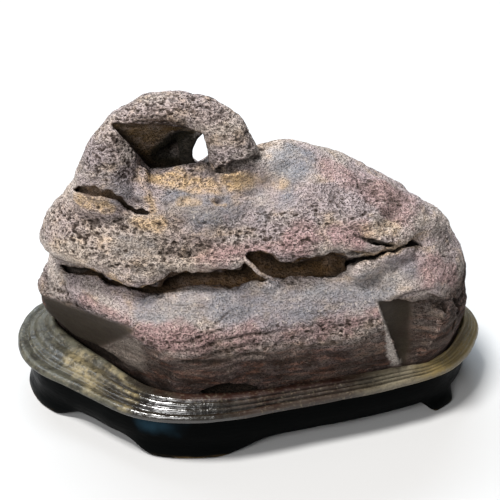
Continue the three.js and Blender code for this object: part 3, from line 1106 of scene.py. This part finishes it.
def buildBase(shape):
    count = shape["columns"]
    rim, out = closedCurve(shape["rim"], count)
    recess, _ = closedCurve(shape["recess"], count)
    low, high = [np.array(corner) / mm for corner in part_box("base")]
    middle = (low + high)[:2] / 2 - (rim.max(0) + rim.min(0)) / 2
    rim, recess = rim + middle, recess + middle
    turn = np.arange(count) / count * len(shape["rim"])
    foot = np.zeros(count)
    flare = np.zeros(count)
    for place, reach, curve, outward in shape["feet"]:
        away = np.abs(turn - place)
        away = np.minimum(away, len(shape["rim"]) - away)
        foot = np.maximum(foot, smoothstep(reach + curve, reach, away))
        flare = np.maximum(flare, outward * smoothstep(reach + curve, reach, away))
    lift = shape["footLift"] * (1 - foot)
    top, floor = shape["rimTop"], shape["seatFloor"]
    upRecess, acrossRim, downSkirt = shape["rings"]
    # points, heights and number of each ring: -1 on the seat, -0.5 up the recess, 0 to 1 across the
    # rim, 2 to 3 down the skirt
    rings = []
    for share in (0.0, 0.5, 0.985):
        rings.append((recess * share, np.full(count, floor), -1))
    for height in np.linspace(floor + 0.6, top - 2.4, upRecess):
        rings.append((recess, np.full(count, height), -0.5))
    for share in np.linspace(0, 1, acrossRim):
        place = recess + (rim - recess) * share
        flat = [place[:, 0], place[:, 1], np.full(count, 0.0)]
        astray = shape["astray"] * smoothstep(0, 0.1, share) * smoothstep(1, 0.9, share)
        across = np.clip(share + astray * layeredNoise(flat, 22, 305, 2), 0, 1)
        broad = smoothstep(-62, -96, place[:, 0])
        plain = 0.8 * smoothstep(98, 124, place[:, 0])
        height = rounded(shape["section"], across) * (1 - broad - plain)
        height += rounded(shape["terraces"], across) * broad + rounded(shape["plain"], across) * plain
        rings.append((place, top + height, across.mean()))
    insets, heights, lifts = np.array(shape["skirt"], float).T
    steps = np.arange(len(insets))
    for place in np.linspace(0, len(steps) - 1, downSkirt):
        inset, height, raised = [np.interp(place, steps, row) for row in (insets, heights, lifts)]
        outward = flare * smoothstep(12, 0, height) * (inset < 12)
        edge = rim - out * (inset - outward)[:, None]
        rings.append((edge, height + lift * raised, 2 + place / len(steps)))
    for ring in ((rim - out * insets[-1]) * 0.5, rim * 0):
        rings.append((ring, np.full(count, float(shape["underside"])), 3))
    points = np.concatenate([np.column_stack([ring, height]) for ring, height, _ in rings])
    share = np.repeat([row[2] for row in rings], count)
    i = np.arange(count)
    faces = []
    for k in range(len(rings) - 1):
        a, b = k * count, (k + 1) * count
        faces.append(np.stack([a + i, a + (i + 1) % count, b + (i + 1) % count, b + i], axis=1))
    faces = np.concatenate(faces)[:, ::-1]
    piece = makeMesh("carvedBase", points * mm, faces)
    return piece, points, share


def finishBase(mesh, points, share):
    # slow unevenness of the carving and of the skirt
    p = points.T
    normals = meshNormals(mesh)
    onRim = smoothstep(-0.01, 0.05, share) * smoothstep(1.5, 1.0, share)
    shake = 0.35 * valueNoise(p, 9, 301, (1, 1, 3)) + 0.16 * valueNoise(p, 3.1, 302)
    skirt = smoothstep(1.9, 2.0, share) * smoothstep(3, 2.9, share) * smoothstep(1, 4, p[2])
    push = onRim * shake + skirt * 0.3 * valueNoise(p, 14, 303, (1, 1, 1.6))
    points = points + normals * push[:, None]
    mesh.vertices.foreach_set("co", (points * mm).astype(np.float32).ravel())
    mesh.update()


def rimMaterial(tint):
    # worn lacquer under dust and handling: glossy where the carving stands up, dull in the hollows;
    # painted shade in the carved lines, painted highlight specks at the front right
    s = Shader("wornRimLacquer")
    dusty = s.noise(9, 6, None, 0.7)
    grain = s.noise(1.6, 3)
    veins = s.noise(4.5, 5, None, 0.8)
    polished = s.value("polished")
    base = s.mix(s.spread(dusty, 0.38, 0.6, 0.15, 1.0), tint["lacquer"], tint["dust"])
    base = s.cover(base, [
        ("polished", tint["gloss"], 0.8),
        ("brown", tint["brown"], 1.0),
        ("rubbedAndGlints", tint["speckAndGlint"], s.spread(veins, 0.3, 0.6, 0.2, 0.8)),
        ("golden", tint["olive"], s.spread(veins, 0.35, 0.6, 0.5, 0.95)),
        ("stain", tint["ochre"], s.spread(veins, 0.36, 0.64, 0.1, 0.95)),
        ("carvedShade", tint["shade"], 0.95),
    ])
    specks = s.times(s.spread(grain, 0.54, 0.7), s.spread(polished, 0.0, 1.0, 0.45, 0.1))
    base = s.mix(specks, base, tint["speckAndGlint"])
    dull = s.plus(s.spread(dusty, 0.36, 0.62, 0.22, 0.4), s.spread(polished, 0.0, 1.0, 0.14, -0.1))
    s.feed(s.surface.inputs["Coat Weight"], s.spread(polished, 0.0, 1.0, 0.1, 1.0))
    s.surface.inputs["Coat Roughness"].default_value = 0.12
    crinkle = s.plus(s.noise(2.4, 3), s.times(grain, 0.5))
    return s.finish(base, dull, 0.5, s.bump(crinkle, 0.3))


def skirtMaterial(tint):
    s = Shader("blackSkirtLacquer")
    cloud = s.noise(26, 4)
    streak = s.noise(5, 4, s.stretched((0.5, 0.5, 2.5)))
    # black lacquer with a painted teal sheen and worn lower edges
    base = s.cover(tint["skirt"], [
        ("tealSheen", tint["tealSheen"], s.spread(cloud, 0.3, 0.6, 0.5, 1.0)),
        ("worn", tint["worn"], s.spread(streak, 0.45, 0.65)),
    ])
    return s.finish(base, s.spread(streak, 0.3, 0.7, 0.3, 0.48), 0.03, s.bump(streak, 0.3))


def markBase(mesh, points, share, shape):
    # what the two lacquers need to know at each point
    p = points.T
    x, y, z = p
    near = layeredNoise(p, 12, 310, 4)
    loose = x + 8 * near
    front = smoothstep(-62, -34, loose) * smoothstep(100, 50, loose) * smoothstep(0, -20, y)
    outer = 0.7 * smoothstep(-24, 4, x + 6 * near)
    brown = front * np.maximum(smoothstep(0.46, 0.36, share), outer) * smoothstep(-0.02, 0.04, share)
    storeValues(mesh, "brown", brown)
    storeValues(mesh, "golden", smoothstep(90, 122, x + 6 * near))
    # a lighter rubbed patch at the front right, with painted highlight specks
    storeValues(mesh, "rubbedAndGlints", smoothstep(56, 90, loose) * smoothstep(0, -20, y))
    stain = rope(*shape["stain"])(p)
    storeValues(mesh, "stain", smoothstep(9, -2, stain + 5 * near) * smoothstep(1.3, 0.9, share))
    polished = smoothstep(-88, -64, loose) * smoothstep(44, -4, loose)
    storeValues(mesh, "polished", polished * smoothstep(-30, -50, y) * (1 - 0.7 * brown))
    # painted shade where the rim lies below a smooth line over its ridges
    ridges = np.interp(share, *np.transpose(shape["ridges"]))
    carvedShade = smoothstep(0, -1.1, z - shape["rimTop"] - ridges) * (share <= 1) * (share >= 0)
    carvedShade = np.clip(carvedShade, 0, 1) * (0.3 + 0.7 * smoothstep(-104, -80, x))
    storeValues(mesh, "carvedShade", carvedShade * (1 - 0.45 * smoothstep(10, 50, x)))
    # painted teal sheen on the skirt's front corner
    storeValues(mesh, "tealSheen", smoothstep(9, -2, thinRope(shape["sheen"])(p) + 4 * near))
    upper = smoothstep(2.14, 2.04, share) * (share >= 2)
    storeValues(mesh, "worn", smoothstep(2.5, 0.5, z) + 0.6 * upper)


def makeBase(shape):
    piece, points, share = buildBase(shape)
    mesh = piece.data
    finishBase(mesh, points, share)
    markBase(mesh, points, share, shape)
    tint = tints(shape["colours"])
    mesh.materials.append(rimMaterial(tint))
    mesh.materials.append(skirtMaterial(tint))
    onSkirt = share[: -shape["columns"]] >= shape["skirtFrom"]
    mesh.polygons.foreach_set("material_index", onSkirt.astype(np.int32))
    # the rings at the middle shrink to one point
    welded = bmesh.new()
    welded.from_mesh(mesh)
    bmesh.ops.remove_doubles(welded, verts=welded.verts, dist=0.01 * mm)
    welded.to_mesh(mesh)
    welded.free()
    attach(piece, "root")
    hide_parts("base")
    print("base mesh", len(points))


# light and floor

studio = {
    "floorHalf": 8.0,  # metres
    "floor": 0.46,  # share of light that the floor sends back
    "sky": 0.17,
    "lights": {
        "key": {
            "kind": "SUN", "power": 4.7, "tint": (1, 0.985, 0.965), "aim": (0.34, 0.14, -1),
            "spread": 14,
        },
        "window": {
            "kind": "AREA", "power": 18, "tint": (0.8, 0.9, 1), "aim": (0.2, -0.75, -1.1),
            "place": (-0.2, 0.75, 1.1), "size": (1.3, 0.35),
        },
        "fill": {
            "kind": "AREA", "power": 24, "tint": (1, 1, 1), "aim": (0.7, 1.6, -1.1),
            "place": (-0.7, -1.6, 1.1), "size": (1.0, 0.8),
        },
    },
}


def addLight(name, kind, power, tint, aim, place=(0, 0, 0), spread=0, size=None):
    data = bpy.data.lights.new(name, kind)
    data.energy = power
    data.color = tint
    if kind == "SUN":
        data.angle = radians(spread)
    else:
        data.shape = "RECTANGLE"
        data.size, data.size_y = size
    light = bpy.data.objects.new(name, data)
    light.location = place
    light.rotation_euler = Vector(aim).to_track_quat("-Z", "Y").to_euler()
    bpy.context.collection.objects.link(light)


def makeStudio(settings):
    half = settings["floorHalf"]
    floor = makeMesh(
        "floor",
        [(-half, -half, 0), (half, -half, 0), (half, half, 0), (-half, half, 0)],
        np.array([[0, 1, 2, 3]]),
    )
    material = bpy.data.materials.new("paleFloor")
    material.use_nodes = True
    shader = material.node_tree.nodes["Principled BSDF"]
    shader.inputs["Base Color"].default_value = (settings["floor"],) * 3 + (1,)
    shader.inputs["Roughness"].default_value = 0.95
    shader.inputs["Specular IOR Level"].default_value = 0.1
    floor.data.materials.append(material)
    world = bpy.data.worlds.new("world")
    world.use_nodes = True
    background = world.node_tree.nodes["Background"]
    background.inputs["Color"].default_value = (1, 1, 1, 1)
    background.inputs["Strength"].default_value = settings["sky"]
    bpy.context.scene.world = world
    bpy.context.scene.view_settings.view_transform = "Standard"
    for name, light in settings["lights"].items():
        addLight(name, **light)


makeCamera(cameraView)
makeStudio(studio)
print("camera and studio ready")
makeBase(stand)
makeStone(stone)
